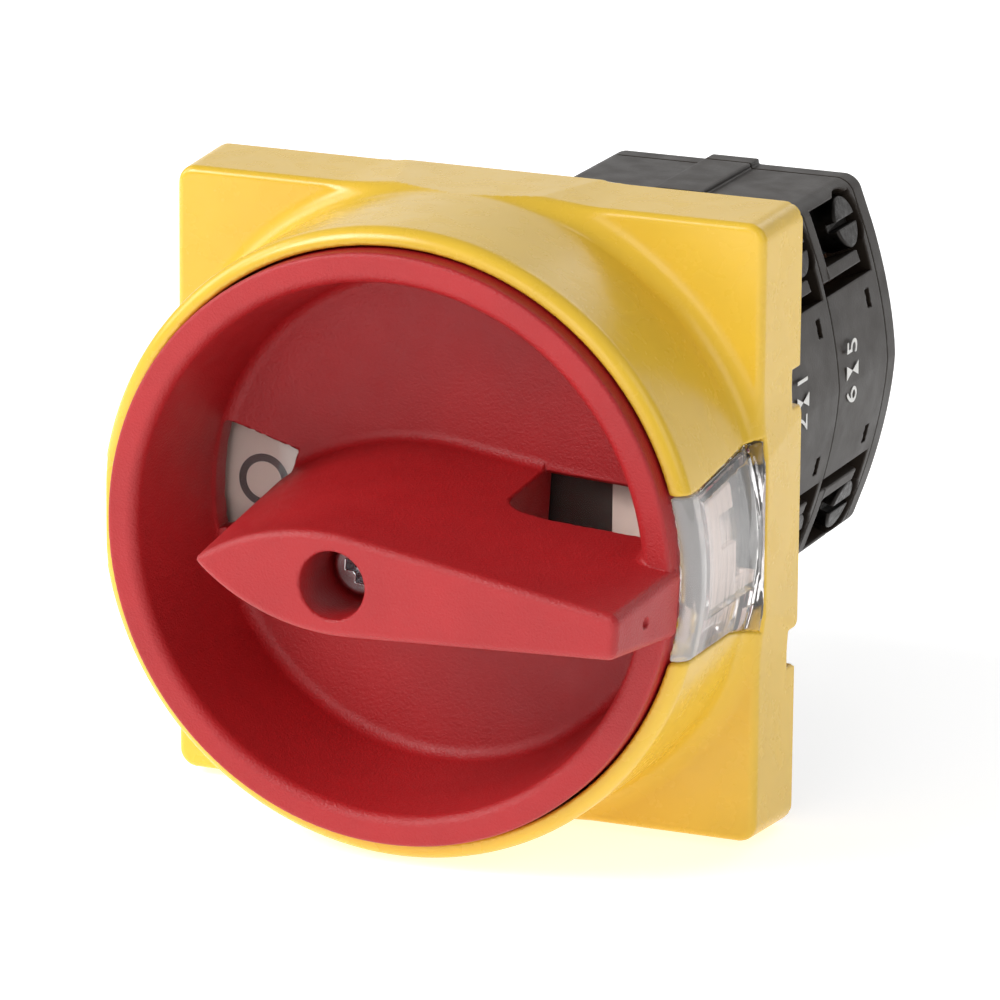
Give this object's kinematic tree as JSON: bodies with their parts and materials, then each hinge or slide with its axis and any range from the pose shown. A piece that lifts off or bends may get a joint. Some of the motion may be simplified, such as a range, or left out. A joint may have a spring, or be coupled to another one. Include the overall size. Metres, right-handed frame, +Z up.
{
  "type": "rotary isolator switch",
  "caption": "Panel-mounted rotary isolator with a turning grip handle in a dish, a square front plate and stacked contact units behind the panel.",
  "frame": {"origin": "where the shaft axis crosses the front face of the panel, which is the back of the front plate", "axes": "front (handle side) faces -Y and +Y runs back along the shaft into the cabinet, +Z is up, +X is right seen from the front"},
  "size_m": [0.0672, 0.1119, 0.0672],
  "materials": {
    "yellow_moulding": "glossy",
    "clear_polycarbonate": "clear",
    "legend_white": "satin",
    "gasket_rubber": "matt",
    "zinc_steel": "zinc plated",
    "red_moulding": "satin",
    "screw_steel": "bright",
    "shaft_steel": "satin",
    "white_moulding": "satin",
    "spring_steel": "bright",
    "contact_copper": "satin",
    "black_steel": "blackened",
    "black_moulding": "satin"
  },
  "bodies": {
    "base": {"front_plate": "yellow_moulding", "clear_cover": "clear_polycarbonate", "legend_disc": "legend_white", "panel_base": "black_moulding", "panel_gasket": "gasket_rubber", "panel_screws": "zinc_steel", "mounting_flange": "black_moulding", "latch_housing": "black_moulding", "detent_springs": "spring_steel", "contact_housing_front": "black_moulding", "contact_housing_rear": "black_moulding", "rear_cover": "black_moulding", "tie_screws": "zinc_steel", "tie_nuts": "zinc_steel", "fixed_contacts_front_right": "contact_copper", "fixed_contacts_front_left": "contact_copper", "fixed_contacts_rear_right": "contact_copper", "fixed_contacts_rear_left": "contact_copper", "terminal_screws": "black_steel", "clamp_plates": "zinc_steel", "return_spring_front_right": "spring_steel", "return_spring_front_left": "spring_steel", "return_spring_rear_right": "spring_steel", "return_spring_rear_left": "spring_steel"},
    "rotor": {"handle": "red_moulding", "handle_screw": "screw_steel", "handle_washer": "zinc_steel", "drive_shaft": "shaft_steel", "detent_cam": "white_moulding", "contact_cam_front": "white_moulding", "contact_cam_rear": "white_moulding"},
    "carrier_group_front_right": {"carrier_front_right": "white_moulding", "bridge_front_right": "contact_copper", "contact_spring_front_right": "spring_steel"},
    "carrier_group_front_left": {"carrier_front_left": "white_moulding", "bridge_front_left": "contact_copper", "contact_spring_front_left": "spring_steel"},
    "carrier_group_rear_right": {"carrier_rear_right": "white_moulding", "bridge_rear_right": "contact_copper", "contact_spring_rear_right": "spring_steel"},
    "carrier_group_rear_left": {"carrier_rear_left": "white_moulding", "bridge_rear_left": "contact_copper", "contact_spring_rear_left": "spring_steel"}
  },
  "joints": [
    {"name": "handle_turn", "type": "hinge", "parent": "base", "child": "rotor", "pos_m": [0, 0, 0], "axis": [0, 1, 0], "range_deg": [-3.5, 86.5], "deforming": ["detent_springs"]},
    {"name": "contact_slide_front_right", "type": "slide", "parent": "base", "child": "carrier_group_front_right", "axis": [-1, 0, 0], "range_m": [-0.00011, 0.00241], "deforming": ["return_spring_front_right"]},
    {"name": "contact_slide_front_left", "type": "slide", "parent": "base", "child": "carrier_group_front_left", "axis": [1, 0, 0], "range_m": [-0.00011, 0.00241], "deforming": ["return_spring_front_left"]},
    {"name": "contact_slide_rear_right", "type": "slide", "parent": "base", "child": "carrier_group_rear_right", "axis": [-1, 0, 0], "range_m": [-0.00011, 0.00241], "deforming": ["return_spring_rear_right"]},
    {"name": "contact_slide_rear_left", "type": "slide", "parent": "base", "child": "carrier_group_rear_left", "axis": [1, 0, 0], "range_m": [-0.00011, 0.00241], "deforming": ["return_spring_rear_left"]}
  ],
  "couplings": [
    {"joint": "contact_slide_front_right", "follows": "handle_turn", "m_per_rad": 0.0015915},
    {"joint": "contact_slide_front_left", "follows": "handle_turn", "m_per_rad": 0.0015915},
    {"joint": "contact_slide_rear_right", "follows": "handle_turn", "m_per_rad": 0.0015915},
    {"joint": "contact_slide_rear_left", "follows": "handle_turn", "m_per_rad": 0.0015915}
  ]
}
